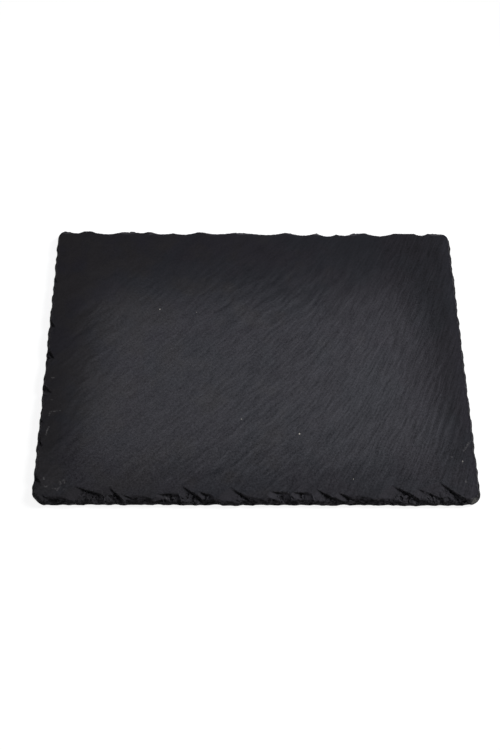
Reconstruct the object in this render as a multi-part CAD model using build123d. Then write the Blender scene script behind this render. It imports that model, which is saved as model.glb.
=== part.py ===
from build123d import *

# A rectangular serving board of natural slate on four stick-on foam feet.
# The top and bottom are split along the stone's grain, so they are flat. The sides are
# broken to size by striking flakes off the top rim, which leaves a rough bevel all round.
# Millimetres, +Z up, +X along the board's length and +Y to its rear. The origin is on the
# table under the middle of the board.

import math
import os
from itertools import cycle

# Slab, measured at its bottom outline
BOARD_LENGTH = 400.0
BOARD_DEPTH = 300.0
SLATE_THICKNESS = 6.0
EDGE_LEAN = 25.0  # degrees from upright that the broken edge leans in
FRONT_LEFT_CLIP = 9.0  # cut across the corner
FRONT_LEFT_RADIUS = 11.0  # at both ends of the clip
FRONT_RIGHT_RADIUS = 13.0
REAR_RIGHT_RADIUS = 10.0
REAR_LEFT_RADIUS = 8.0

# Flakes, struck one after another along a side: a steep wall and a shell-shaped floor
FRONT_FLAKE_LAND = 1.8  # height of the edge that a flake leaves at the bottom outline
SIDE_FLAKE_LAND = 1.4
FLAKE_WALL_LEAN = 22.0  # degrees from upright
FLAKE_FLOOR_FALL = 4.0  # degrees that the floor falls away from the wall's foot
FLAKE_FLOOR_HOLLOW = 0.3  # depth of the floor's hollow
CORNER_ROOM = 10.0  # end of a side where no new flake is struck

# Each flake: distance from the last one's tip, reach of the tip in from the outline, run along the
# side from the tip to the wall's end, and reach that is left there
FRONT_FLAKES = (
    (9, 7.5, 14, 0), (31, 13, 25, 5), (31, 13.5, 12, 0), (10, 6.6, 20, 1), (31, 6.5, 20, 6),
    (20, 6.2, 9, 0), (3, 14.5, 17, 2), (15, 8.3, 12, 4), (12, 4, 6, 0), (16, 12.5, 21, 0),
    (35, 9.5, 17, 6.5), (17, 6.5, 8, 0), (3, 8.3, 16, 6), (16, 6, 8, 0), (5, 11.3, 19, 1),
    (19, 8.3, 16, 1.5), (33, 5, 9, 0), (16, 14.7, 24, 2), (22, 11.3, 21, 4), (21, 18.5, 24, 0),
)
RIGHT_FLAKES = (
    (16, 4, 10, 0), (24, 3.6, 9, 0), (31, 4.2, 11, 0), (19, 3.4, 8, 0), (27, 3.8, 10, 0),
)
LEFT_FLAKES = (
    (30, 4.5, -9, 0), (37, 5, -8, 0), (26, 4.5, -8, 0), (26, 7.5, -12, 0), (36, 10, -15, 0),
    (36, 10.5, -11, 0), (31, 5, -9, 0), (24, 7, -13, 0), (36, 9, -12, 0),
)

# Bites, chips and scars, knocked out of the edge with a round blow: distance from the last one's
# middle, then width and depth at their lower end
BITE_SLOPE = 66.0  # degrees from level that a bite's back leans in
BITE_LAND = 0.0  # height of the edge that is left under it
REAR_BITES = (
    (30, 15, 2.4), (42, 30, 3.4), (38, 22, 3.6), (15, 24, 4.7), (25, 30, 3.5), (40, 44, 3.2),
    (45, 34, 1.8), (37, 30, 3.5), (20, 28, 3.2), (23, 16, 2), (35, 34, 3.5),
)
EDGE_CHIPS = (
    (15, 9, 0.5), (13, 11, 0.7), (10, 7, 0.4), (14, 12, 0.8), (12, 8, 0.4), (11, 9, 0.6),
    (15, 13, 0.7), (10, 6, 0.4), (12, 10, 0.6),
)
FRONT_SCAR_SLOPE = 48.0
FRONT_SCAR_LAND = 1.8
FRONT_SCARS = (
    (20, 30, 1.9), (30, 28, 1.7), (44, 28, 1.9), (25, 26, 1.6), (35, 18, 1.5), (36, 30, 2),
    (26, 26, 1.6), (25, 26, 1.9), (24, 26, 1.5), (25, 30, 2.1), (28, 30, 1.7), (28, 28, 2),
    (28, 30, 1.8),
)
REAR_SCAR_SLOPE = 27.0
REAR_SCAR_LAND = 4.2
REAR_SCARS = (
    (14, 24, 2.5), (62, 32, 2.9), (26, 34, 3), (31, 40, 2.7), (27, 26, 2.3), (35, 38, 2.8),
    (16, 30, 2.6), (29, 36, 2.9), (33, 28, 2.4), (24, 34, 3), (31, 40, 2.7), (27, 26, 2.3),
    (35, 38, 2.8),
)

# Feet: die-cut foam discs on double-sided adhesive
FOOT_DIAMETER = 16.0
FOAM_THICKNESS = 2.0
FOAM_EDGE_EASE = 0.3  # lower edge, pressed in by the cutting die
ADHESIVE_THICKNESS = 0.2
FOOT_INSET = 32.0  # foot's middle from both sides of the corner

# Cutting tools, which run clear of the stone that they take
CUTTER_HEIGHT = 3 * SLATE_THICKNESS
CUTTER_SPREAD = 2  # times a flake's own size

UNDERSIDE = FOAM_THICKNESS + ADHESIVE_THICKNESS
TOP = UNDERSIDE + SLATE_THICKNESS
HALF_LENGTH = BOARD_LENGTH / 2
HALF_DEPTH = BOARD_DEPTH / 2

# The four sides, walked with the stone on the left hand: start corner, way along, way out
UP = Vector(0, 0, 1)
SIDES = {
    "front": (Vector(-HALF_LENGTH, -HALF_DEPTH), Vector(1, 0), Vector(0, -1), BOARD_LENGTH),
    "right": (Vector(HALF_LENGTH, -HALF_DEPTH), Vector(0, 1), Vector(1, 0), BOARD_DEPTH),
    "rear": (Vector(HALF_LENGTH, HALF_DEPTH), Vector(-1, 0), Vector(0, 1), BOARD_LENGTH),
    "left": (Vector(-HALF_LENGTH, HALF_DEPTH), Vector(0, -1), Vector(-1, 0), BOARD_DEPTH),
}


def places_along(side, pattern):
    """Repeats the pattern along a side up to its far corner: place and sizes of each blow."""
    place = 0.0
    length = SIDES[side][3]
    for step, *sizes in cycle(pattern):
        place += step
        if place > length - CORNER_ROOM:
            return
        yield place, *sizes


def flake_cutter(side, place, reach, run, end_reach, land):
    """The stone that one skewed flake takes away, from its tip on the top face outwards."""
    start, along, out, _ = SIDES[side]
    tip = start + along * place - out * reach + UP * TOP
    drop = SLATE_THICKNESS - land
    foot = along * run + out * (reach - end_reach) - UP * drop
    spine = foot.normalized()
    hand = math.copysign(1, run)
    inward = (along * (reach - end_reach) * hand - out * abs(run)).normalized()
    across = Plane(origin=tip, x_dir=inward * hand, z_dir=spine)

    wall_shift = CUTTER_HEIGHT * math.tan(math.radians(FLAKE_WALL_LEAN))
    floor_width = CUTTER_SPREAD * (reach + abs(run))
    floor_fall = floor_width * math.tan(math.radians(FLAKE_FLOOR_FALL))
    hollow = floor_fall / 2 + FLAKE_FLOOR_HOLLOW
    wall_top = (hand * wall_shift, CUTTER_HEIGHT)
    outer_top = (-hand * floor_width, CUTTER_HEIGHT)
    outer_floor = (-hand * floor_width, -floor_fall)
    middle_floor = (-hand * floor_width / 2, -hollow)
    profile = make_face(
        [
            Line((0, 0), wall_top),
            Line(wall_top, outer_top),
            Line(outer_top, outer_floor),
            ThreePointArc(outer_floor, middle_floor, (0, 0)),
        ]
    )
    lead = CUTTER_SPREAD * foot.length
    return extrude(across * Pos(0, 0, -lead) * profile, lead + foot.length, dir=spine)


def punch(side, place, width, depth, lean, land):
    """A leaning round punch that knocks a shallow shell out of the edge, above its land."""
    start, along, out, _ = SIDES[side]
    slope = math.radians(lean)
    radius = (width**2 / 4 + depth**2) / (2 * depth)
    deepest = start + along * place - out * depth + UP * (UNDERSIDE + land)
    fall = out * math.cos(slope) - UP * math.sin(slope)
    level = out * math.sin(slope) + UP * math.cos(slope)
    axis = Plane(origin=deepest + level * radius, x_dir=along, z_dir=fall)
    return axis * Cylinder(radius, 2 * CUTTER_HEIGHT)


def corner_of(outline, x, y):
    """The vertex of the outline at that corner of the board."""
    return outline.vertices().sort_by_distance((x, y, 0))[0]


def slate_slab():
    """The split stone: leaning broken edges, then bites, scars and flakes struck off the rim."""
    outline = Rectangle(BOARD_LENGTH, BOARD_DEPTH)
    outline = chamfer(corner_of(outline, -HALF_LENGTH, -HALF_DEPTH), FRONT_LEFT_CLIP)
    for clip_end in ((FRONT_LEFT_CLIP, 0), (0, FRONT_LEFT_CLIP)):
        end = corner_of(outline, clip_end[0] - HALF_LENGTH, clip_end[1] - HALF_DEPTH)
        outline = fillet(end, FRONT_LEFT_RADIUS)
    outline = fillet(corner_of(outline, HALF_LENGTH, -HALF_DEPTH), FRONT_RIGHT_RADIUS)
    outline = fillet(corner_of(outline, HALF_LENGTH, HALF_DEPTH), REAR_RIGHT_RADIUS)
    outline = fillet(corner_of(outline, -HALF_LENGTH, HALF_DEPTH), REAR_LEFT_RADIUS)
    slab = extrude(Pos(0, 0, UNDERSIDE) * outline, SLATE_THICKNESS, taper=EDGE_LEAN)
    blows = (
        ("front", EDGE_CHIPS, BITE_SLOPE, BITE_LAND),
        ("right", EDGE_CHIPS, BITE_SLOPE, BITE_LAND),
        ("left", EDGE_CHIPS, BITE_SLOPE, BITE_LAND),
        ("rear", REAR_BITES, BITE_SLOPE, BITE_LAND),
        ("front", FRONT_SCARS, FRONT_SCAR_SLOPE, FRONT_SCAR_LAND),
        ("rear", REAR_SCARS, REAR_SCAR_SLOPE, REAR_SCAR_LAND),
    )
    for side, pattern, lean, land in blows:
        slab -= [punch(side, *blow, lean, land) for blow in places_along(side, pattern)]
    flakes = (
        ("front", FRONT_FLAKES, FRONT_FLAKE_LAND),
        ("right", RIGHT_FLAKES, SIDE_FLAKE_LAND),
        ("left", LEFT_FLAKES, SIDE_FLAKE_LAND),
    )
    for side, pattern, land in flakes:
        slab -= [flake_cutter(side, *flake, land) for flake in places_along(side, pattern)]
    return slab


def foam_pad():
    """One foam disc with its lower edge eased, standing on the table at the origin."""
    disc = extrude(Circle(FOOT_DIAMETER / 2), FOAM_THICKNESS)
    return chamfer(disc.edges().sort_by(Axis.Z)[0], FOAM_EDGE_EASE)


def adhesive_disc():
    """One disc of double-sided tape on top of a foam disc."""
    return extrude(Pos(0, 0, FOAM_THICKNESS) * Circle(FOOT_DIAMETER / 2), ADHESIVE_THICKNESS)


parts = {"slate_slab": slate_slab()}
for depth_name, depth_sign in (("front", -1), ("rear", 1)):
    for length_name, length_sign in (("left", -1), ("right", 1)):
        foot_place = Pos(
            length_sign * (HALF_LENGTH - FOOT_INSET), depth_sign * (HALF_DEPTH - FOOT_INSET)
        )
        corner = f"{depth_name}_{length_name}"
        parts[f"foot_pad_{corner}"] = foot_place * foam_pad()
        parts[f"foot_adhesive_{corner}"] = foot_place * adhesive_disc()

os.makedirs("parts", exist_ok=True)
for node, shape in parts.items():
    export_step(shape, f"parts/{node}.step")
    box = shape.bounding_box()
    print(node, "volume", round(shape.volume, 1), "low", box.min, "high", box.max)
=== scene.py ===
import math
from collections import Counter

import bmesh
import bpy
import numpy as np
from mathutils import Euler, Matrix, Vector
from mathutils.bvhtree import BVHTree
from mathutils.geometry import delaunay_2d_cdt
from mathutils.kdtree import KDTree


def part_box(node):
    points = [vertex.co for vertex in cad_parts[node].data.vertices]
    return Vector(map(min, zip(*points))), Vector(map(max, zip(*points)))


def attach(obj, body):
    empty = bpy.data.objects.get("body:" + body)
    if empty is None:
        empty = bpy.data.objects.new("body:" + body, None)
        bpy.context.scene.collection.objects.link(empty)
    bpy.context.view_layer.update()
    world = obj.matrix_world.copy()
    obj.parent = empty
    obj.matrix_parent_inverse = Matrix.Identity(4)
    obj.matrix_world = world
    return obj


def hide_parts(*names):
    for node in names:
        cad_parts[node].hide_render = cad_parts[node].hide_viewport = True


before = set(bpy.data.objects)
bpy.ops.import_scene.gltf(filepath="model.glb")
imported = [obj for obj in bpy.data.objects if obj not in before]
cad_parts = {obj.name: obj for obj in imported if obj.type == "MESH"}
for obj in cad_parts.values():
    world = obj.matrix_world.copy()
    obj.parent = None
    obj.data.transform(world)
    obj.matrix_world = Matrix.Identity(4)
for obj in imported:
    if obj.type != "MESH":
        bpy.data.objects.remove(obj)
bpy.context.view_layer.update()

# Slate slab
# One piece of natural slate, split along its grain, so both faces are riven and none is cut.
# A mason struck flakes off the top rim to bring it to size. That left a rough leaning edge with
# skewed scars along the front, notches on the left and wide bites along the rear.

MM = 0.001
cad_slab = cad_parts["slate_slab"]
slab_low, slab_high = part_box("slate_slab")
UNDERSIDE = slab_low.z
SPLIT_FACE = slab_high.z

# The grain runs from the left front to the right rear, and swings round towards the rear on the right
GRAIN_ANGLE = math.radians(45)
GRAIN_SWING_START = 20 * MM
GRAIN_SWING = 4.8  # per metre
GRAIN_WAVE = 5.5 * MM
GRAIN_WAVE_SPAN = 16 * MM

# Mesh: close points where the stone is struck, and cells in slanting rows where the split face is whole
EDGE_SPACING = 0.64 * MM
BASE_SPACING = 4.0 * MM
SPACING_JITTER = 0.22  # share of the spacing
OUTLINE_CLEAR = 0.6  # share of the spacing that inner points keep from the outline
CELL_LENGTH = 1.5 * MM  # along the board's length
CELL_WIDTH = 1.5 * MM  # along the board's depth
MAP_STEP = 1.0 * MM
SCAR_DEPTH = 0.04 * MM  # stone that lies deeper than this under the split face is struck
SCAR_MARGIN = 2  # steps of the map
BASE_FACING = -0.9  # faces that look down more than this are the base
WELD = 0.001 * MM
DOWN = Vector((0, 0, -1))
stone_dice = np.random.default_rng(11)

# The front scars are drawn further in and to the left than on the solid, but not at the corners
SCAR_DRAW = 2.6 * MM
SCAR_DRAW_LEAN = 1.2  # to the left, for each step in
SCAR_DRAW_START = 7 * MM  # in from the front, where half of it is reached
SCAR_DRAW_END = 34 * MM  # in from the front
SCAR_DRAW_SIDE = 183 * MM  # from the middle

# Where a front scar ends on the right in a steep wall, the wall is worn to a slope
WORN_RUN = 11 * MM
WALL_LINE = 4.5 * MM  # in from the front, where the walls are looked for
WALL_STEP = 0.4 * MM
WALL_CLIMB = 0.7 * MM  # in one step


def grain_line(x):
    """How far to the rear a line of grain from the middle has come at x. Takes numbers or wires."""
    past = x - GRAIN_SWING_START
    past = (past + abs(past)) / 2
    return x * math.tan(GRAIN_ANGLE) + past * past * GRAIN_SWING


def squared(value, times):
    """A value squared again and again. Takes numbers or wires."""
    for _ in range(times):
        value = value * value
    return value


def scar_draw(x, y):
    """How much further in the front scars reach than on the solid. Takes numbers or wires."""
    start = squared((y - slab_low.y) / SCAR_DRAW_START, 2)
    end = squared((y - slab_low.y) / SCAR_DRAW_END, 3)
    side = squared(x / SCAR_DRAW_SIDE, 5)
    return SCAR_DRAW * start / ((1 + start) * (1 + end) * (1 + side))


def bottom_outline(spacing):
    """The slab's bottom outline as evenly spaced plan points, one turn round the board."""
    stone = bmesh.new()
    stone.from_mesh(cad_slab.data)
    bmesh.ops.remove_doubles(stone, verts=stone.verts, dist=WELD)
    base_faces = {face for face in stone.faces if face.normal.z < BASE_FACING}
    rim = {edge for edge in stone.edges if sum(face in base_faces for face in edge.link_faces) == 1}
    corner = max((vert for edge in rim for vert in edge.verts), key=lambda vert: tuple(vert.co))
    turn = []
    while rim:
        turn.append(corner.co.xy)
        open_edges = (edge for edge in corner.link_edges if edge in rim)
        edge = max(open_edges, key=lambda edge: tuple(edge.other_vert(corner).co))
        rim.remove(edge)
        corner = edge.other_vert(corner)
    stone.free()
    turn = np.array(turn + turn[:1])
    walked = np.concatenate([[0], np.cumsum(np.linalg.norm(np.diff(turn, axis=0), axis=1))])
    stops = np.linspace(0, walked[-1], int(walked[-1] / spacing), endpoint=False)
    return np.stack([np.interp(stops, walked, turn[:, axis]) for axis in (0, 1)], axis=1)


def depth_under(solid, x, y):
    """How far the stone lies under the split face at a plan point. Infinite where there is none."""
    draw = scar_draw(x, y)
    hit = solid.ray_cast(Vector((x + draw * SCAR_DRAW_LEAN, y - draw, 2 * SPLIT_FACE)), DOWN)[0]
    return math.inf if hit is None else SPLIT_FACE - hit.z


def scar_ends(solid):
    """Where front scars end in a steep wall: x, and the share of the depth that the wall climbs."""
    line = np.arange(slab_low.x + WORN_RUN, slab_high.x - WORN_RUN, WALL_STEP)
    start = [Vector((x, slab_low.y + WALL_LINE, 2 * SPLIT_FACE)) for x in line]
    depth = [SPLIT_FACE - solid.ray_cast(place, DOWN)[0].z for place in start]
    ends = []
    foot = 0
    for i in range(1, len(line)):
        if depth[i - 1] - depth[i] < WALL_CLIMB:
            if foot < i - 1:
                ends.append((line[i - 1], 1 - depth[i - 1] / depth[foot]))
            foot = i
    return ends


def struck_map(solid):
    """A test for plan points: whether the stone there, or close by, is struck away."""
    corner = np.array(slab_low.xy)
    x = np.arange(slab_low.x, slab_high.x + MAP_STEP, MAP_STEP)
    y = np.arange(slab_low.y, slab_high.y + MAP_STEP, MAP_STEP)
    struck = np.array([[depth_under(solid, i, j) > SCAR_DEPTH for j in y] for i in x])
    shifts = range(-SCAR_MARGIN, SCAR_MARGIN + 1)
    for axis in (0, 1):
        struck = np.any([np.roll(struck, shift, axis) for shift in shifts], axis=0)
    last = np.array(struck.shape) - 1

    def near_struck(points):
        i, j = np.rint((points - corner) / MAP_STEP).astype(int).clip(0, last).T
        return struck[i, j]

    return near_struck


def grain_lattice(near_struck):
    """Cells in rows that slant as the grain does, wherever the split face is whole: plan points, cells,
    and a test for the places that the cells cover."""
    lean = math.tan(GRAIN_ANGLE)
    columns = np.arange(slab_low.x, slab_high.x, CELL_LENGTH)
    lines = columns * lean
    rows = np.arange(slab_low.y - lines.max(), slab_high.y - lines.min(), CELL_WIDTH)
    count = len(rows)
    points = np.stack([np.repeat(columns, count), np.add.outer(lines, rows).ravel()], axis=1)
    whole = ~near_struck(points).reshape(-1, count)
    made = whole[:-1, :-1] & whole[1:, :-1] & whole[1:, 1:] & whole[:-1, 1:]
    i, j = np.nonzero(made)
    corner = i * count + j
    cells = np.stack([corner, corner + count, corner + count + 1, corner + 1], axis=1)
    used, cells = np.unique(cells, return_inverse=True)

    def covers(x, y):
        column = int((x - columns[0]) // CELL_LENGTH)
        row = int((y - x * lean - rows[0]) // CELL_WIDTH)
        return 0 <= column < made.shape[0] and 0 <= row < made.shape[1] and made[column, row]

    return points[used], cells.reshape(-1, 4), covers


def rim_of(cells):
    """The sides that only one cell has, as pairs of points."""
    sides = (frozenset(side) for cell in cells.tolist() for side in zip(cell, cell[1:] + cell[:1]))
    return [tuple(side) for side, uses in Counter(sides).items() if uses == 1]


def scattered(spacing):
    """Plan points over the slab's box in a staggered grid, each a little out of its place."""
    row_step = spacing * math.sqrt(3) / 2
    across = np.arange(slab_low.x, slab_high.x, spacing)
    rows = np.arange(slab_low.y, slab_high.y, row_step)
    x, y = np.meshgrid(across, rows)
    x[1::2] += spacing / 2
    points = np.stack([x.ravel(), y.ravel()], axis=1)
    return points + stone_dice.uniform(-1, 1, points.shape) * spacing * SPACING_JITTER


def nearness(points):
    """A search tree that gives the distance from a place to the nearest of the plan points."""
    tree = KDTree(len(points))
    for index, (x, y) in enumerate(points):
        tree.insert((x, y, 0), index)
    tree.balance()
    return lambda place: tree.find((*place, 0))[2]


def fill_outline(sheet, outline, inside, height, rim_points=(), rim=(), covers=lambda x, y: False):
    """Adds triangles in plan from the outline, at height 0, to the points inside it, at height.
    What the cells inside a rim cover stays open."""
    first_rim = len(outline) + len(inside)
    turn = [(i, (i + 1) % len(outline)) for i in range(len(outline))]
    turn += [(first_rim + a, first_rim + b) for a, b in rim]
    plan = [Vector(point) for points in (outline, inside, rim_points) for point in points]
    inside_only = 1
    made = delaunay_2d_cdt(plan, turn, [], inside_only, WELD, True)
    points, faces, sources = made[0], made[2], made[3]
    verts = {}
    for index in sorted({index for face in faces for index in face}):
        lift = height if min(sources[index]) >= len(outline) else 0
        verts[index] = sheet.verts.new((*points[index], lift))
    for face in faces:
        corners = [verts[index] for index in (face if height > 0 else reversed(face))]
        middle = sum((corner.co for corner in corners), Vector()) / len(corners)
        if not covers(*middle.xy):
            sheet.faces.new(corners)


def loose_slivers(sheet):
    """Faces between outline points alone that end in the air, because both sheets had them."""
    loose = {edge.link_faces[0] for edge in sheet.edges if len(edge.link_faces) == 1}
    return [face for face in loose if not any(vert.co.z for vert in face.verts)]


def blank_slab(solid):
    """The slab before its relief: an upper sheet over a lower one, joined along the outline."""
    outline = bottom_outline(EDGE_SPACING)
    to_outline = nearness(outline)
    near_struck = struck_map(solid)

    def in_stone(points, clear):
        for place in points:
            if depth_under(solid, *place) < math.inf and to_outline(place) > clear:
                yield place

    face, cells, covers = grain_lattice(near_struck)
    rim = rim_of(cells)
    rim_points, rim = np.unique(rim, return_inverse=True)
    edge = scattered(EDGE_SPACING)
    edge = list(in_stone(edge[near_struck(edge)], OUTLINE_CLEAR * EDGE_SPACING))
    base = list(in_stone(scattered(BASE_SPACING), OUTLINE_CLEAR * BASE_SPACING))

    blank = bmesh.new()
    fill_outline(blank, outline, edge, MM, face[rim_points], rim.reshape(-1, 2), covers)
    fill_outline(blank, outline, base, -MM)
    verts = [blank.verts.new((*place, MM)) for place in face]
    for cell in cells:
        blank.faces.new([verts[index] for index in cell])
    bmesh.ops.remove_doubles(blank, verts=blank.verts, dist=WELD)
    while slivers := loose_slivers(blank):
        bmesh.ops.delete(blank, geom=slivers, context="FACES")
    mesh = bpy.data.meshes.new("slate_slab_riven")
    blank.to_mesh(mesh)
    blank.free()
    return mesh


class Wire:
    """A node's output that can stand in a sum. Each operator adds the Math node that works it out."""

    def __init__(self, tree, socket):
        self.tree = tree
        self.socket = socket

    def output(self, name):
        """Another output of the same node."""
        return Wire(self.tree, self.tree.find(self.socket.node.outputs, name))

    def maths(self, operation, *values):
        return self.tree.add("ShaderNodeMath", {"operation": operation}, dict(enumerate(values)))

    def most(self, other):
        return self.maths("MAXIMUM", self, other)

    def __add__(self, other):
        return self.maths("ADD", self, other)

    def __radd__(self, other):
        return self.maths("ADD", other, self)

    def __sub__(self, other):
        return self.maths("SUBTRACT", self, other)

    def __rsub__(self, other):
        return self.maths("SUBTRACT", other, self)

    def __mul__(self, other):
        return self.maths("MULTIPLY", self, other)

    def __rmul__(self, other):
        return self.maths("MULTIPLY", other, self)

    def __truediv__(self, other):
        return self.maths("DIVIDE", self, other)

    def __rtruediv__(self, other):
        return self.maths("DIVIDE", other, self)

    def __abs__(self):
        return self.maths("ABSOLUTE", self)


class Tree:
    """Adds nodes to a shader or a geometry tree."""

    def __init__(self, nodes):
        self.nodes = nodes

    @staticmethod
    def find(sockets, key):
        if isinstance(key, int):
            return sockets[key]
        return next(s for s in sockets if s.enabled and key in (s.identifier, s.name))

    def fill(self, node, sockets):
        """Gives a node's input sockets their values or links."""
        for key, value in sockets.items():
            socket = self.find(node.inputs, key)
            if isinstance(value, Wire):
                self.nodes.links.new(value.socket, socket)
            else:
                socket.default_value = value

    def add(self, kind, settings=None, sockets=None, output=0):
        """Adds a node: its settings first, then the values or links of its sockets. Gives an output."""
        node = self.nodes.nodes.new(kind)
        for name, value in (settings or {}).items():
            setattr(node, name, value)
        self.fill(node, sockets or {})
        return Wire(self, self.find(node.outputs, output)) if node.outputs else node

    def xyz(self, x, y, z):
        return self.add("ShaderNodeCombineXYZ", sockets={"X": x, "Y": y, "Z": z})

    def counted(self, x, y, z, spans, start=0.0):
        """A place in spans of its own along each axis, the last one counted from start."""
        return self.xyz(x / spans[0], y / spans[1], z / spans[2] + start)

    def split(self, vector):
        """The three parts of a vector."""
        x = self.add("ShaderNodeSeparateXYZ", sockets={"Vector": vector})
        return x, x.output("Y"), x.output("Z")

    def noise(self, place, detail=2.0, roughness=0.5, output=0):
        """Smooth noise from 0 to 1, with about one swell for each unit of place."""
        sockets = {"Vector": place, "Scale": 1.0, "Detail": detail, "Roughness": roughness}
        return self.add("ShaderNodeTexNoise", sockets=sockets, output=output)

    def facets(self, place):
        """Cells about one unit of place wide, each with its own shade from 0 to 1."""
        sockets = {"Vector": place, "Scale": 1.0}
        return self.split(self.add("ShaderNodeTexVoronoi", sockets=sockets, output="Color"))[0]

    def vector(self, operation, a, b, output=0):
        return self.add("ShaderNodeVectorMath", {"operation": operation}, {0: a, 1: b}, output)

    def scaled(self, colour, factor):
        """A colour made brighter or darker."""
        sockets = {"Vector": colour, "Scale": factor}
        return self.add("ShaderNodeVectorMath", {"operation": "SCALE"}, sockets)

    def mark(self, name):
        """What the mesh says at this place."""
        return self.add("ShaderNodeAttribute", {"attribute_name": name}, output="Fac")

    def ease(self, value, low, high):
        """0 below low, 1 above high, with a soft climb between."""
        sockets = {"Value": value, "From Min": low, "From Max": high}
        return self.add("ShaderNodeMapRange", {"interpolation_type": "SMOOTHSTEP"}, sockets)

    def blend(self, factor, a, b):
        """A colour between two others."""
        sockets = {"Factor": factor, "A": a, "B": b}
        return self.add("ShaderNodeMix", {"data_type": "RGBA"}, sockets, output="Result")


def along_grain(tree, place):
    """A place on the slab as distances along the grain and across it, in metres."""
    x, y, _ = tree.split(place)
    wave = tree.noise(tree.xyz(x / GRAIN_WAVE_SPAN, y / GRAIN_WAVE_SPAN, 0.0), 1, 0.5) - 0.5
    along = x * math.cos(GRAIN_ANGLE) + y * math.sin(GRAIN_ANGLE)
    across = (y - grain_line(x)) * math.cos(GRAIN_ANGLE) + wave * GRAIN_WAVE
    return along, across


def terraces(tree, level, riser):
    """A level in whole treads with short risers between, as stone that parts in layers breaks."""
    tread = level.maths("FLOOR", level)
    return tread + tree.ease(level - tread, 0.5 - riser / 2, 0.5 + riser / 2)


def geometry_tree(name, **sizes):
    """A geometry tree with a named input for each size: the tree and its group input."""
    nodes = bpy.data.node_groups.new(name, "GeometryNodeTree")
    nodes.interface.new_socket("Geometry", in_out="INPUT", socket_type="NodeSocketGeometry")
    nodes.interface.new_socket("Geometry", in_out="OUTPUT", socket_type="NodeSocketGeometry")
    for size, kind in sizes.items():
        nodes.interface.new_socket(size, in_out="INPUT", socket_type=f"NodeSocket{kind}")
    tree = Tree(nodes)
    return tree, tree.add("NodeGroupInput")


def finish_tree(tree, geometry, material):
    """Ends a geometry tree: smooth faces, sharp arrises, real geometry, and the material."""
    arris_angle = math.radians(38)
    angle = tree.add("GeometryNodeInputMeshEdgeAngle")
    smooth = tree.add("GeometryNodeSetShadeSmooth", sockets={"Geometry": geometry, "Shade Smooth": True})
    crisp = tree.add(
        "GeometryNodeSetShadeSmooth",
        {"domain": "EDGE"},
        {
            "Geometry": smooth,
            "Selection": angle.maths("GREATER_THAN", angle, arris_angle),
            "Shade Smooth": False,
        },
    )
    real = tree.add("GeometryNodeRealizeInstances", sockets={"Geometry": crisp})
    clad = tree.add("GeometryNodeSetMaterial", sockets={"Geometry": real, "Material": material})
    tree.add("NodeGroupOutput", sockets={"Geometry": clad})


def grow(piece, tree, **sizes):
    """Runs a geometry tree on a piece with those sizes, and leaves the result as its plain mesh."""
    modifier = piece.modifiers.new(tree.nodes.name, "NODES")
    modifier.node_group = tree.nodes
    for item in tree.nodes.interface.items_tree:
        if item.name in sizes:
            modifier[item.identifier] = sizes[item.name]
    grown = piece.evaluated_get(bpy.context.evaluated_depsgraph_get())
    mesh = bpy.data.meshes.new_from_object(grown)
    piece.modifiers.clear()
    piece.data = mesh


# How far apart the features of the relief are
SWELL_SPAN = 90 * MM
RIPPLE_LENGTH = 26 * MM
RIPPLE_WIDTH = 7.5 * MM
STREAK_LENGTH = 13 * MM
STREAK_WIDTH = 3.6 * MM
BROAD_WANDER = 21 * MM
CLOSE_WANDER = 6.5 * MM
DRIFT_SPAN = 12 * MM
CHIP_SPANS = (2.8 * MM, 2.8 * MM, 1.9 * MM)
CRUMB_SPANS = (2.2 * MM, 2.2 * MM, 1.6 * MM)

# How strong they are
BROAD_SHARE = 1.5  # of the close wander
LAYER_DRIFT = 4  # layers
LAYER_RISER = 0.4  # share of a layer
LAYER_SHARE = 0.6
FACE_SINK = 0.06 * MM  # so that the swells lie about level with the solid's face
BASE_LIFT = 0.12 * MM  # so that the underside stays clear of the feet
SETTLE_ROUNDS = 7
RIM_ROUNDS = 12

# Where they begin and where they are full: along the board, from its front, in depth, in height, in tilt
RIPPLES_CLEAR = (-130 * MM, 70 * MM)
FAR_RIGHT = (100 * MM, 180 * MM)
STREAKS_FADE = (0, 90 * MM)
REAR_CALM = (20 * MM, 100 * MM)
WORN_START = (1.5 * MM, 4 * MM)
WORN_END = (20 * MM, 30 * MM)
SCAR_RUN_OUT = (0, 0.75 * MM)
RAGGED_DEPTH = (0.8 * MM, 2.4 * MM)
BROKEN_DEPTH = (0.03 * MM, 0.25 * MM)
FRESH_DEPTH = (0.02 * MM, 0.2 * MM)
PITS_FADE = (2 * MM, 4 * MM)
ARRIS_RISE = (0.06 * MM, 0.5 * MM)
PIT_SINK = (0.06 * MM, 0.55 * MM)
NEARLY_LEVEL = (0.86, 0.97)
FLOOR_LEVEL = (0.6, 0.88)
NOT_UNDERSIDE = (-0.6, -0.1)


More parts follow.
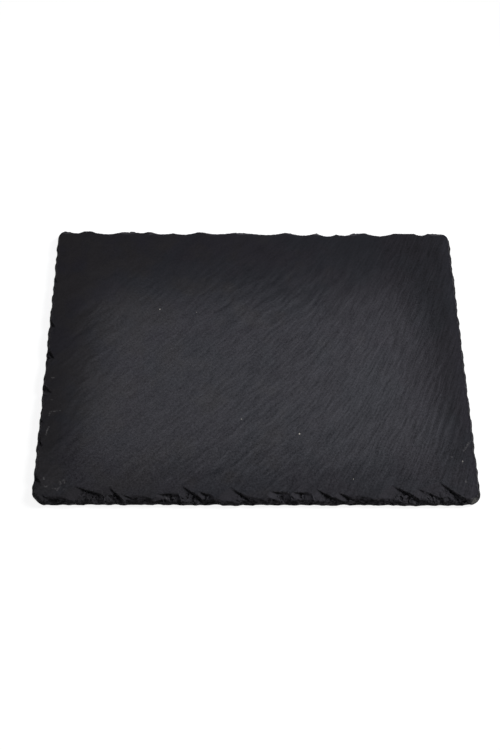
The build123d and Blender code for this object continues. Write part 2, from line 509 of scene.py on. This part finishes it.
def riven_tree(material, ends):
    """Lays a blank slab on the CAD solid and gives it the relief of split and struck slate."""
    tree, sizes = geometry_tree(
        "riven_slate",
        Solid="Object",
        Swell="Float",
        Ripple="Float",
        Streak="Float",
        Wander="Float",
        Layer="Float",
        Chip="Float",
        Seed="Float",
    )
    seed = sizes.output("Seed")
    place = tree.add("GeometryNodeInputPosition")
    x, y, side = tree.split(place)
    upper = tree.ease(side, 0, MM)
    under = tree.ease(side * -1, 0, MM)
    solid = tree.add("GeometryNodeObjectInfo", sockets={"Object": sizes.output("Solid")}, output="Geometry")
    draw = scar_draw(x, y)
    source_x = x + draw * SCAR_DRAW_LEAN
    ray = tree.add(
        "GeometryNodeRaycast",
        sockets={
            "Target Geometry": solid,
            "Source Position": tree.xyz(source_x, y - draw, 2 * SPLIT_FACE),
            "Ray Direction": DOWN,
            "Ray Length": 1.0,
        },
        output="Is Hit",
    )
    hit_z = tree.split(ray.output("Hit Position"))[2]
    found = ray * upper
    height = hit_z * found + UNDERSIDE * (1 - found)
    worn = 0
    for end, share in ends:
        climb = tree.ease(source_x, end - WORN_RUN, end) * share
        worn = climb * (1 - tree.ease(source_x, end, end + WALL_STEP)) + worn
    inward = y - slab_low.y
    front = tree.ease(inward, *WORN_START) * (1 - tree.ease(inward, *WORN_END))
    depth = (SPLIT_FACE - height) * (1 - worn * front * upper)

    # A scar's floor runs out into the split face. Lower down, the break is layered and ragged
    scar = depth * tree.ease(depth, *SCAR_RUN_OUT)
    ragged = tree.ease(depth, *RAGGED_DEPTH) * upper
    layer = sizes.output("Layer")
    drift = LAYER_DRIFT * tree.noise(tree.xyz(x / DRIFT_SPAN, y / DRIFT_SPAN, seed + 3), 3, 0.6)
    layered = (terraces(tree, scar / layer + drift, LAYER_RISER) - drift) * layer
    chip = tree.facets(tree.counted(x, y, height, CHIP_SPANS, seed)) - 0.5
    crumb = tree.noise(tree.counted(x, y, height, CRUMB_SPANS, seed), 3, 0.6) - 0.5
    loose = (chip + crumb) * ragged * sizes.output("Chip")
    struck = scar + (layered - scar) * ragged * LAYER_SHARE + loose

    # The split face: long swells, then ripples along the grain, clearer towards the right, and streaks.
    # The grain draws together on the right, where streaks would be too fine for the mesh
    along, across = along_grain(tree, place)
    swell = tree.noise(tree.xyz(x / SWELL_SPAN, y / SWELL_SPAN, seed + 5), 2, 0.5) - 0.5
    ripple = tree.noise(tree.xyz(along / RIPPLE_LENGTH, across / RIPPLE_WIDTH, seed + 7), 0) - 0.5
    streak = tree.noise(tree.xyz(along / STREAK_LENGTH, across / STREAK_WIDTH, seed + 11), 0) - 0.5
    clear = 0.35 + 0.65 * tree.ease(x, *RIPPLES_CLEAR) - 0.55 * tree.ease(x, *FAR_RIGHT)
    fine = 1 - tree.ease(x, *STREAKS_FADE)
    calm = 1 - 0.65 * tree.ease(y, *REAR_CALM)
    grained = ripple * sizes.output("Ripple") + streak * fine * sizes.output("Streak")
    relief = swell * sizes.output("Swell") + grained * clear * calm
    top_z = SPLIT_FACE - struck + relief * (1 - ragged) - FACE_SINK

    # The underside is split too, and its relief stays clear of the feet
    base_z = UNDERSIDE + under * (BASE_LIFT + ripple * sizes.output("Ripple"))

    # The straight lines of the CAD rim wander, as broken stone does
    broad = tree.noise(tree.xyz(x / BROAD_WANDER, y / BROAD_WANDER, seed + 13), 0, 0.5, "Color")
    close = tree.noise(tree.xyz(x / CLOSE_WANDER, y / CLOSE_WANDER, seed + 17), 1, 0.5, "Color")
    middle = (BROAD_SHARE + 1) / 2
    shifts = [a * BROAD_SHARE + b - middle for a, b in zip(tree.split(broad), tree.split(close))]
    shift_x, shift_y, _ = [shift * sizes.output("Wander") for shift in shifts]
    moved = tree.add(
        "GeometryNodeSetPosition",
        sockets={
            "Geometry": sizes.output("Geometry"),
            "Position": tree.xyz(x + shift_x, y + shift_y, top_z * upper + base_z * (1 - upper)),
        },
    )

    # What the finish needs to know: broken stone, the rim beside it, floors of scars, arrises and pits
    now_z = tree.split(tree.add("GeometryNodeInputPosition"))[2]
    facing = tree.split(tree.add("GeometryNodeInputNormal"))[2]
    steep = 1 - tree.ease(facing, *NEARLY_LEVEL)
    low = tree.ease(depth, *BROKEN_DEPTH)
    broken = steep.most(low) * tree.ease(facing, *NOT_UNDERSIDE)

    def blurred(value, rounds):
        return tree.add("GeometryNodeBlurAttribute", sockets={"Value": value, "Iterations": rounds})

    settled = blurred(now_z, SETTLE_ROUNDS)
    marks = {
        "broken": broken,
        "rim": blurred(broken, RIM_ROUNDS),
        # Scar floors, for fresh stone and a painted sheen
        "fresh": tree.ease(depth, *FRESH_DEPTH) * tree.ease(facing, *FLOOR_LEVEL),
        "arris": tree.ease(now_z - settled, *ARRIS_RISE),
        # Pits, for a painted shade
        "pit": tree.ease(settled - now_z, *PIT_SINK) * (1 - 0.75 * tree.ease(depth, *PITS_FADE)),
    }
    for name, value in marks.items():
        sockets = {"Geometry": moved, "Name": name, "Value": value}
        moved = tree.add("GeometryNodeStoreNamedAttribute", sockets=sockets)
    finish_tree(tree, moved, material)
    return tree


# Colours of the stone where whole, freshly broken, stained and bruised, plus a painted sheen and painted
# shade
VIOLET_GREY = (0.0115, 0.0106, 0.0142, 1)
BLUE_GREY = (0.0103, 0.0107, 0.0142, 1)
WARM_GREY = (0.0122, 0.0110, 0.0118, 1)
PALE_FLOOR_AND_SHEEN = (0.0272, 0.0262, 0.0312, 1)
DULL_FLOOR_AND_SHEEN = (0.0212, 0.0203, 0.0232, 1)
FRESH_BREAK = (0.0180, 0.0170, 0.0200, 1)
IRON_BROWN = (0.0215, 0.0178, 0.0172, 1)
CREVICE_SHADE = (0.0025, 0.0024, 0.0027, 1)
BRUISE = (0.046, 0.044, 0.043, 1)
CORNER_PALE_SPOT = (0.150, 0.148, 0.140, 1)
PALE_GRAIN = (0.46, 0.44, 0.38, 1)
SCUFF = (0.120, 0.116, 0.118, 1)

# A pale spot at the front right corner
PALE_SPOT_PLACE = Vector((193, -146, 4)) * MM
PALE_SPOT_CORE = 2.0 * MM
PALE_SPOT_REACH = 5.0 * MM

# How far apart the markings are: along x or the grain, along y or across the grain, and up
STREAK_SPANS = (20 * MM, 2.6 * MM, 3 * MM)
THREAD_SPANS = (9 * MM, 1.3 * MM, 2 * MM)
PATCH_SPANS = (30 * MM, 30 * MM, 10 * MM)
HUE_SPANS = (50 * MM, 50 * MM, 20 * MM)
GRIT_SPANS = (1.7 * MM, 1.7 * MM, 1.7 * MM)
STAIN_SPANS = (11 * MM, 11 * MM, 4 * MM)
BRUISE_SPANS = (4 * MM, 4 * MM, 3 * MM)
FACET_SPANS = (3.0 * MM, 2.4 * MM, 1.3 * MM)
CROOK_SPAN = 1.1 * MM
CROOK = 1.4 * MM
CRUMBLE_SPAN = 1.3 * MM
FINE_RELIEF = 0.05 * MM

# Where they begin and where they are full: along the board, along its depth, and in height
LINES_CLEAR = (-130 * MM, 110 * MM)
FLOOR_SHEEN_RISE = (-160 * MM, -20 * MM)
SHEEN_RIGHT = (0, 100 * MM)
RIGHT_RIM = (184 * MM, 197 * MM)
REAR_RIM_LIGHT = (-30 * MM, 100 * MM)
REAR_RIGHT_SHADE = (-60 * MM, 100 * MM)
FRONT_GRIT = (60 * MM, 120 * MM)  # towards the front
CONTACT_SHADE = (UNDERSIDE + 0.2 * MM, UNDERSIDE + 1.6 * MM)
WALL_SHADE = (UNDERSIDE + 1.4 * MM, SPLIT_FACE - MM)
EDGE_MIDDLE = (UNDERSIDE + 2 * MM, SPLIT_FACE - 2 * MM)
UPPER_FACE = (4 * MM, 6 * MM)

# Pale grains that the split laid bare: x, y and size in millimetres
PALE_GRAINS = (
    (-93, 53, 0.8), (39, -82, 1.0), (-14, -67, 0.7), (86, -127, 0.6), (-57, 50, 0.4), (186, -109, 0.6),
)

# Faint scuffs where the board was knocked: x and y of both ends, and width, in millimetres
SCUFFS = (
    (-190.5, -63.5, -189.5, -60, 1.2), (-189.5, -60, -185.5, -59.5, 1.3), (-185, -59, -180.5, -58.5, 1.0),
    (-191.5, -83.5, -191, -78.5, 1.3), (-191, -78.5, -189.5, -75.5, 1.2), (-191.5, -24, -189.5, -24, 1.2),
    (-190, -47.5, -189, -47.5, 1.1), (-190, -126, -189.5, -127.5, 1.2),
    (-188.5, -134.5, -186.5, -134.5, 1.3), (-175.5, -130, -174.5, -132, 1.6),
    (-172, -128.5, -171, -131, 1.5), (-181, -136.5, -178.5, -136.5, 1.3),
    (-175.5, -135.5, -177, -138, 1.4), (-171, -137.5, -169, -137.5, 1.1), (195, -88.5, 192, -92.5, 1.6),
    (192, -92.5, 187.5, -98.5, 1.8), (176, -104.5, 177, -105, 1.2), (186, -108.5, 185.5, -111, 1.3),
    (186.5, -128.5, 186.5, -129.5, 1.3), (-81, -145, -79, -145, 1.4), (189, -147, 191.5, -145.5, 2.2),
    (-106, 144, -104, 144, 1.3),
)


def stone_colour(stone, place, patch, tone, bruise):
    """The stone's colour: whole on the split faces, and facetted, stained and bruised where broken, with
    painted light and shade.
    """
    x, y, z = stone.split(place)
    hue = stone.noise(stone.counted(x, y, z, HUE_SPANS, 4), 3, 0.6)
    whole = stone.blend(stone.ease(hue, 0.4, 0.6), VIOLET_GREY, BLUE_GREY)
    whole = stone.blend(stone.ease(patch - x, 0, 0.25) * 0.8, whole, WARM_GREY)

    # Painted light: low on the edge the facets are paler, and the floors of scars show less
    lower = 1 - stone.ease(z, *EDGE_MIDDLE)
    stain = stone.noise(stone.counted(x, y, z, STAIN_SPANS), 3, 0.6)
    facet_light_and_tone = stone.facets(stone.counted(x, y, z, FACET_SPANS))
    rough = stone.blend(stone.ease(stain, 0.5, 0.75) * 0.6, FRESH_BREAK, IRON_BROWN)
    # Each facet has its own shade: partly its own tone, partly painted light and shade of lit and shaded
    # facets
    rough = stone.scaled(rough, (0.2 + 2.2 * facet_light_and_tone * facet_light_and_tone) * (0.5 + bruise) * (1 + 0.6 * lower))
    # Scar floors are paler: partly fresh stone, partly a painted sheen that fades to the left
    floor_and_sheen = stone.blend(stone.ease(x, *FLOOR_SHEEN_RISE), DULL_FLOOR_AND_SHEEN, PALE_FLOOR_AND_SHEEN)
    colour = stone.blend(stone.mark("broken"), whole, rough)
    colour = stone.blend(stone.mark("fresh") * (1 - 0.5 * lower), colour, floor_and_sheen)
    # Painted shade: pits and creases are darkened almost to black
    colour = stone.blend(stone.mark("pit") * 0.85, stone.scaled(colour, tone), CREVICE_SHADE)
    return stone.blend(stone.mark("arris") * stone.ease(bruise, 0.5, 0.75) * 0.25, colour, BRUISE)


def with_pale_marks(stone, place, colour, bruise):
    """Adds pale grains and crumbled scuffs, both with crooked outlines, and the pale spot at the corner."""
    x, y, z = stone.split(place)
    upper = stone.ease(z, *UPPER_FACE)
    crook = stone.noise(stone.xyz(x / CROOK_SPAN, y / CROOK_SPAN, 0.0), 1, 0.5, "Color")
    crook_x, crook_y, _ = stone.split(crook)
    plan = stone.xyz(x + (crook_x - 0.5) * CROOK, y + (crook_y - 0.5) * CROOK, 0.0)
    grains = 0
    for grain_x, grain_y, size in PALE_GRAINS:
        away = stone.vector("DISTANCE", plan, Vector((grain_x, grain_y, 0)) * MM, "Value")
        grains = (1 - stone.ease(away, 0.4 * size * MM, 0.9 * size * MM)) + grains
    scuffs = 0
    for start_x, start_y, end_x, end_y, width in SCUFFS:
        start = Vector((start_x, start_y, 0)) * MM
        run = Vector((end_x, end_y, 0)) * MM - start
        from_start = stone.vector("SUBTRACT", plan, start)
        walked = stone.vector("DOT_PRODUCT", from_start, run / run.length_squared, "Value")
        walked = walked.maths("MINIMUM", walked.most(0), 1)
        nearest = stone.xyz(walked * run.x + start.x, walked * run.y + start.y, 0.0)
        away = stone.vector("DISTANCE", plan, nearest, "Value")
        scuffs = (1 - stone.ease(away, 0.1 * width * MM, 0.9 * width * MM)) + scuffs
    crumble = stone.noise(stone.xyz(x / CRUMBLE_SPAN, y / CRUMBLE_SPAN, 0.5), 2, 0.6)
    colour = stone.blend(scuffs * upper * stone.ease(crumble, 0.35, 0.65) * 0.5, colour, SCUFF)
    colour = stone.blend(grains * upper, colour, PALE_GRAIN)
    # The pale spot at the front right corner
    chip = 1 - stone.ease(stone.vector("DISTANCE", place, PALE_SPOT_PLACE, "Value"), PALE_SPOT_CORE, PALE_SPOT_REACH)
    return stone.blend(chip * stone.ease(bruise, 0.3, 0.6), colour, CORNER_PALE_SPOT)


def slate_material():
    """Riven slate: a dull sheen on the split faces, matt broken edges with bruised arrises."""
    material = bpy.data.materials.new("riven_slate")
    material.use_nodes = True
    stone = Tree(material.node_tree)
    place = stone.add("ShaderNodeTexCoord", output="Object")
    x, y, z = stone.split(place)
    along, across = along_grain(stone, place)

    # Tone runs in streaks along the grain, clearer towards the right, with soft patches and fine grit
    streak = stone.noise(stone.counted(along, across, z, STREAK_SPANS), 1, 0.5) - 0.5
    thread = stone.noise(stone.counted(along, across, z, THREAD_SPANS), 2, 0.6) - 0.5
    patch = stone.noise(stone.counted(x, y, z, PATCH_SPANS), 3, 0.55) - 0.5
    grit = stone.noise(stone.counted(x, y, z, GRIT_SPANS), 2, 0.6) - 0.5
    grit = grit * (1 + 0.4 * stone.ease(y * -1, *FRONT_GRIT))
    clear = 0.55 + 0.65 * stone.ease(x, *LINES_CLEAR)
    lines = (streak + 0.6 * thread) * clear
    far_right = stone.ease(x, *FAR_RIGHT)
    tone = 1 + (0.4 + 0.5 * far_right) * lines + 0.4 * patch + (0.6 + 0.5 * far_right) * grit
    # Painted shade: on the far right the tone is darker towards the rear
    tone = tone - 0.15 * far_right * stone.ease(y, *REAR_RIGHT_SHADE)

    # Painted light: the rim is paler at the rear and right. Painted shade: broken stone darkens to its foot
    broken = stone.mark("broken")
    rim = stone.mark("rim")
    right_rim = stone.ease(x, *RIGHT_RIM)
    tone = tone + (0.5 - 0.5 * right_rim) * rim * stone.ease(x * 0.75 + y, *REAR_RIM_LIGHT)
    tone = tone + 0.42 * right_rim * (1 - broken)
    # Painted shade: broken stone is darkened towards its foot, most of all next to the table
    foot_shade = 0.25 + 0.55 * stone.ease(z, *CONTACT_SHADE) + 0.2 * stone.ease(z, *WALL_SHADE)
    tone = tone * (1 - broken * (1 - foot_shade))

    bruise = stone.noise(stone.counted(x, y, z, BRUISE_SPANS), 3, 0.65)
    colour = stone_colour(stone, place, patch, tone, bruise)
    colour = with_pale_marks(stone, place, colour, bruise)

    # Fine relief that is too small for the mesh
    bump = stone.add(
        "ShaderNodeBump",
        sockets={
            "Strength": 1.0,
            "Distance": FINE_RELIEF,
            "Height": thread + streak * clear + grit * 0.5 + broken * grit * 2,
        },
    )

    # The split face has the sheen, which is worn off at the right rim. Broken stone has none
    sheen = 0.64 + 0.06 * stone.ease(x, *SHEEN_RIGHT) + 0.72 * lines + grit
    face = material.node_tree.nodes["Principled BSDF"]
    stone.fill(
        face,
        {
            "Base Color": colour,
            "Roughness": 0.6 + 0.2 * streak,
            "Specular IOR Level": 0.05,
            "Coat Weight": sheen * (1 - right_rim * stone.ease(rim, 0.05, 0.4)),
            "Coat Roughness": 0.19,
            "Normal": bump,
        },
    )
    edge = stone.add(
        "ShaderNodeBsdfPrincipled",
        sockets={
            "Base Color": colour,
            "Roughness": 0.75 + 0.2 * bruise,
            "Specular IOR Level": 0.1,
            "Normal": bump,
        },
    )
    split_stone = Wire(stone, face.outputs["BSDF"])
    both = stone.add("ShaderNodeMixShader", sockets={0: broken, 1: split_stone, 2: edge})
    stone.fill(material.node_tree.nodes["Material Output"], {"Surface": both})
    return material


cad_stone = BVHTree.FromObject(cad_slab, bpy.context.evaluated_depsgraph_get())
slab = bpy.data.objects.new("slate_slab_riven", blank_slab(cad_stone))
bpy.context.scene.collection.objects.link(slab)
grow(
    slab,
    riven_tree(slate_material(), scar_ends(cad_stone)),
    Solid=cad_slab,
    Swell=0.3 * MM,
    Ripple=0.3 * MM,
    Streak=0.17 * MM,
    Wander=0.9 * MM,
    Layer=0.7 * MM,
    Chip=1.7 * MM,
    Seed=2.0,
)
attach(slab, "root")
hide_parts("slate_slab")

# Adhesive
# A disc of double-sided tape on each foot, die-cut together with the foam. It is a pale film with a
# dull, slightly mottled gum that holds the foot to the stone.

CORNERS = ("front_left", "front_right", "rear_left", "rear_right")
TAPE = (0.70, 0.69, 0.62, 1)
GUM = (0.58, 0.55, 0.45, 1)
GUM_SPANS = (2 * MM, 2 * MM, 0.4 * MM)


def tape_material():
    """Pale film with mottled gum."""
    material = bpy.data.materials.new("tape")
    material.use_nodes = True
    film = Tree(material.node_tree)
    place = film.add("ShaderNodeTexCoord", output="Object")
    x, y, z = film.split(place)
    mottle = film.noise(film.counted(x, y, z, GUM_SPANS), 3, 0.6)
    film.fill(
        material.node_tree.nodes["Principled BSDF"],
        {
            "Base Color": film.blend(film.ease(mottle, 0.35, 0.65), TAPE, GUM),
            "Roughness": 0.4 + 0.3 * mottle,
            "Specular IOR Level": 0.4,
        },
    )
    return material


tape = tape_material()
for corner in CORNERS:
    tape_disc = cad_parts[f"foot_adhesive_{corner}"]
    tape_disc.data.materials.clear()
    tape_disc.data.materials.append(tape)

# Feet
# Four discs die-cut from a sheet of black closed-cell foam and stuck under the corners. The cut side
# shows opened cells, and the die pressed the lower edge in a little.

FOOT_EASE = 0.25 * MM
FOOT_EASED_SHARE = 0.3  # of the height
FOOT_BASE_SHARE = 0.05  # of the height
FOOT_CELL = 0.09 * MM
FOOT_PIT_SPANS = (0.5 * MM, 0.5 * MM, 0.5 * MM)
FOOT_SIDES = 96
FOOT_SIDE_STEPS = 8
FOOT_RINGS = 14
FOAM_CELLS = 2600.0  # per metre
FOAM_SKIN = (0.02, 0.16)  # share of a cell
FOAM_RELIEF = 0.05 * MM
DUST_SPANS = (4 * MM, 4 * MM, 4 * MM)
FOAM_BLACK = (0.018, 0.018, 0.019, 1)
FOAM_GREY = (0.045, 0.045, 0.047, 1)


def foam_tree(material):
    """A foam disc standing on the table at its place: eased lower edge, pitted side and base."""
    tree, sizes = geometry_tree(
        "foam_foot",
        Place="Vector",
        Radius="Float",
        Height="Float",
        Ease="Float",
        Cell="Float",
        Seed="Float",
    )
    radius = sizes.output("Radius")
    height = sizes.output("Height")
    disc = tree.add(
        "GeometryNodeMeshCylinder",
        {"fill_type": "TRIANGLE_FAN"},
        {
            "Vertices": FOOT_SIDES,
            "Side Segments": FOOT_SIDE_STEPS,
            "Fill Segments": FOOT_RINGS,
            "Radius": radius,
            "Depth": height,
        },
    )
    x, y, z = tree.split(tree.add("GeometryNodeInputPosition"))
    level = z / height + 0.5
    low = 1 - tree.ease(level, 0, FOOT_EASED_SHARE)
    seed = sizes.output("Seed")
    pits = tree.noise(tree.counted(x, y, z, FOOT_PIT_SPANS, seed), 2, 0.6)
    pressed = (sizes.output("Ease") * low + sizes.output("Cell") * pits) / radius
    lift = sizes.output("Cell") * pits * (1 - tree.ease(level, 0, FOOT_BASE_SHARE))
    place_x, place_y, _ = tree.split(sizes.output("Place"))
    inward = 1 - pressed
    moved = tree.add(
        "GeometryNodeSetPosition",
        sockets={
            "Geometry": disc,
            "Position": tree.xyz(x * inward + place_x, y * inward + place_y, z + height / 2 + lift),
        },
    )
    finish_tree(tree, moved, material)
    return tree


def foam_material():
    """Black foam with paler skins between its cells."""
    material = bpy.data.materials.new("foam")
    material.use_nodes = True
    foam = Tree(material.node_tree)
    place = foam.add("ShaderNodeTexCoord", output="Object")
    cells = foam.add(
        "ShaderNodeTexVoronoi", {"feature": "DISTANCE_TO_EDGE"}, {"Vector": place, "Scale": FOAM_CELLS}
    )
    x, y, z = foam.split(place)
    dust = foam.noise(foam.counted(x, y, z, DUST_SPANS), 3, 0.6)
    skin = (1 - foam.ease(cells, *FOAM_SKIN)) * (0.4 + 0.6 * dust)
    relief = {"Strength": 0.8, "Distance": FOAM_RELIEF, "Height": skin}
    bump = foam.add("ShaderNodeBump", sockets=relief)
    foam.fill(
        material.node_tree.nodes["Principled BSDF"],
        {
            "Base Color": foam.blend(skin, FOAM_BLACK, FOAM_GREY),
            "Roughness": 0.8 + 0.15 * dust,
            "Specular IOR Level": 0.25,
            "Normal": bump,
        },
    )
    return material


foot_tree = foam_tree(foam_material())
for number, corner in enumerate(CORNERS):
    foot_low, foot_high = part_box(f"foot_pad_{corner}")
    foot = bpy.data.objects.new(f"foam_foot_{corner}", bpy.data.meshes.new(f"foam_foot_{corner}"))
    bpy.context.scene.collection.objects.link(foot)
    grow(
        foot,
        foot_tree,
        Place=(foot_low + foot_high) / 2,
        Radius=(foot_high.x - foot_low.x) / 2,
        Height=foot_high.z - foot_low.z,
        Ease=FOOT_EASE,
        Cell=FOOT_CELL,
        Seed=float(number),
    )
    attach(foot, "root")
    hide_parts(f"foot_pad_{corner}")

# Floor
# A white paper sweep under the board and up behind it, all round. The camera sees it as white, with
# the board's own shadow on it. It throws less light back up than it shows.

SWEEP_RADIUS = 4.0
SWEEP_HEIGHT = 0.9
SWEEP_SIDES = 64
SWEEP_STEPS = 8
PAPER = (0.6, 0.6, 0.6, 1)
SHOWN_PAPER = (0.26, 0.26, 0.26, 1)
WHITE = (1, 1, 1, 1)
SHOWN_GLOW = 0.86  # what the camera sees even in shadow
SHADOW_FADES = (0.3, 0.6)  # metres from the middle


def paper_sweep():
    """A round floor with its edge turned up."""
    sweep = bmesh.new()
    turn = [math.tau * i / SWEEP_SIDES for i in range(SWEEP_SIDES)]
    rise = [math.pi / 2 * i / SWEEP_STEPS for i in range(SWEEP_STEPS + 1)]
    rings = []
    for up in rise:
        reach = SWEEP_RADIUS + SWEEP_HEIGHT * math.sin(up)
        level = SWEEP_HEIGHT * (1 - math.cos(up))
        rings.append([sweep.verts.new((reach * math.cos(a), reach * math.sin(a), level)) for a in turn])
    sweep.faces.new(rings[0])
    for lower, upper in zip(rings, rings[1:]):
        for i in range(SWEEP_SIDES):
            j = (i + 1) % SWEEP_SIDES
            sweep.faces.new([lower[i], lower[j], upper[j], upper[i]])
    mesh = bpy.data.meshes.new("paper_sweep")
    sweep.to_mesh(mesh)
    sweep.free()
    return mesh


def paper_material():
    """Pale paper for the light, white paper for the eye and for reflections."""
    material = bpy.data.materials.new("white_paper")
    material.use_nodes = True
    paper = Tree(material.node_tree)
    seen = paper.add("ShaderNodeLightPath", output="Is Camera Ray")
    seen = seen.most(seen.output("Is Glossy Ray")).most(seen.output("Is Transmission Ray"))
    plain = paper.add("ShaderNodeBsdfDiffuse", sockets={"Color": PAPER})
    shaded = paper.add("ShaderNodeBsdfDiffuse", sockets={"Color": SHOWN_PAPER})
    glow = paper.add("ShaderNodeEmission", sockets={"Color": WHITE, "Strength": SHOWN_GLOW})
    near_board = paper.add("ShaderNodeAddShader", sockets={0: shaded, 1: glow})
    far = paper.add("ShaderNodeEmission", sockets={"Color": WHITE, "Strength": 1.0})
    place = paper.add("ShaderNodeTexCoord", output="Object")
    away = paper.add("ShaderNodeVectorMath", {"operation": "LENGTH"}, {0: place}, "Value")
    distance = paper.ease(away, *SHADOW_FADES)
    shown = paper.add("ShaderNodeMixShader", sockets={0: distance, 1: near_board, 2: far})
    both = paper.add("ShaderNodeMixShader", sockets={0: seen, 1: plain, 2: shown})
    paper.fill(material.node_tree.nodes["Material Output"], {"Surface": both})
    return material


floor = bpy.data.objects.new("paper_sweep", paper_sweep())
floor.data.materials.append(paper_material())
bpy.context.scene.collection.objects.link(floor)

# Light
# A softbox behind the board's right lights it, and a weak one fills the front edge. A tilted panel hangs
# over the rear with a dim apron in front, and the split face mirrors both as a soft sheen that widens to
# the front. The room adds little.

ROOM_LIGHT = 0.09
DAYLIGHT = (1, 1, 1)
COOL = (0.94, 0.95, 1.07)

world = bpy.data.worlds.new("studio")
bpy.context.scene.world = world
world.use_nodes = True
world.node_tree.nodes["Background"].inputs["Color"].default_value = WHITE
world.node_tree.nodes["Background"].inputs["Strength"].default_value = ROOM_LIGHT


def softbox(name, place, aim, size, watts, colour):
    """A lamp with a square-edged cloth front, turned towards what it lights and hidden from the camera."""
    lamp = bpy.data.lights.new(name, "AREA")
    lamp.shape = "RECTANGLE"
    lamp.size, lamp.size_y = size
    lamp.energy = watts
    lamp.color = colour
    stand = bpy.data.objects.new(name, lamp)
    stand.location = place
    stand.rotation_euler = (Vector(aim) - Vector(place)).to_track_quat("-Z", "Y").to_euler()
    stand.visible_camera = False
    bpy.context.scene.collection.objects.link(stand)


softbox(
    "key_softbox",
    place=(2.6, 1.2, 1.7),
    aim=(0, 0, 0),
    size=(1.4, 1.2),
    watts=134,
    colour=DAYLIGHT,
)
softbox(
    "front_fill",
    place=(-0.3, -1.7, 0.9),
    aim=(0, 0, 0),
    size=(3.6, 0.8),
    watts=8.0,
    colour=DAYLIGHT,
)
softbox(
    "sheen_panel",
    place=(0.022, 0.259, 0.485),
    aim=(0.022, 0.472, 0.002),
    size=(0.496, 0.413),
    watts=0.70,
    colour=COOL,
)
softbox(
    "sheen_apron",
    place=(0.016, 0.031, 0.4),
    aim=(0.016, 0.031, 0),
    size=(0.618, 0.078),
    watts=0.056,
    colour=COOL,
)

# Camera
# It stands in front of the board, a little to the left of its middle, and looks down at it, as in the
# photograph.

CAMERA_PLACE = Vector((-28.06, -513.19, 870.20)) * MM + Vector((0, 0, UNDERSIDE))
CAMERA_TURN = (29.7031, -1.2325, -0.4315)  # degrees about X, then Y, then Z, from looking straight down
CAMERA_SENSOR = 36  # millimetres
CAMERA_LENS = 50.74  # millimetres

camera_data = bpy.data.cameras.new("camera")
camera_data.sensor_width = CAMERA_SENSOR
camera_data.lens = CAMERA_LENS
camera = bpy.data.objects.new("camera", camera_data)
camera_turn = Euler([math.radians(angle) for angle in CAMERA_TURN])
camera.matrix_world = Matrix.LocRotScale(CAMERA_PLACE, camera_turn, None)
bpy.context.scene.collection.objects.link(camera)
bpy.context.scene.camera = camera
bpy.context.scene.view_settings.view_transform = "Standard"
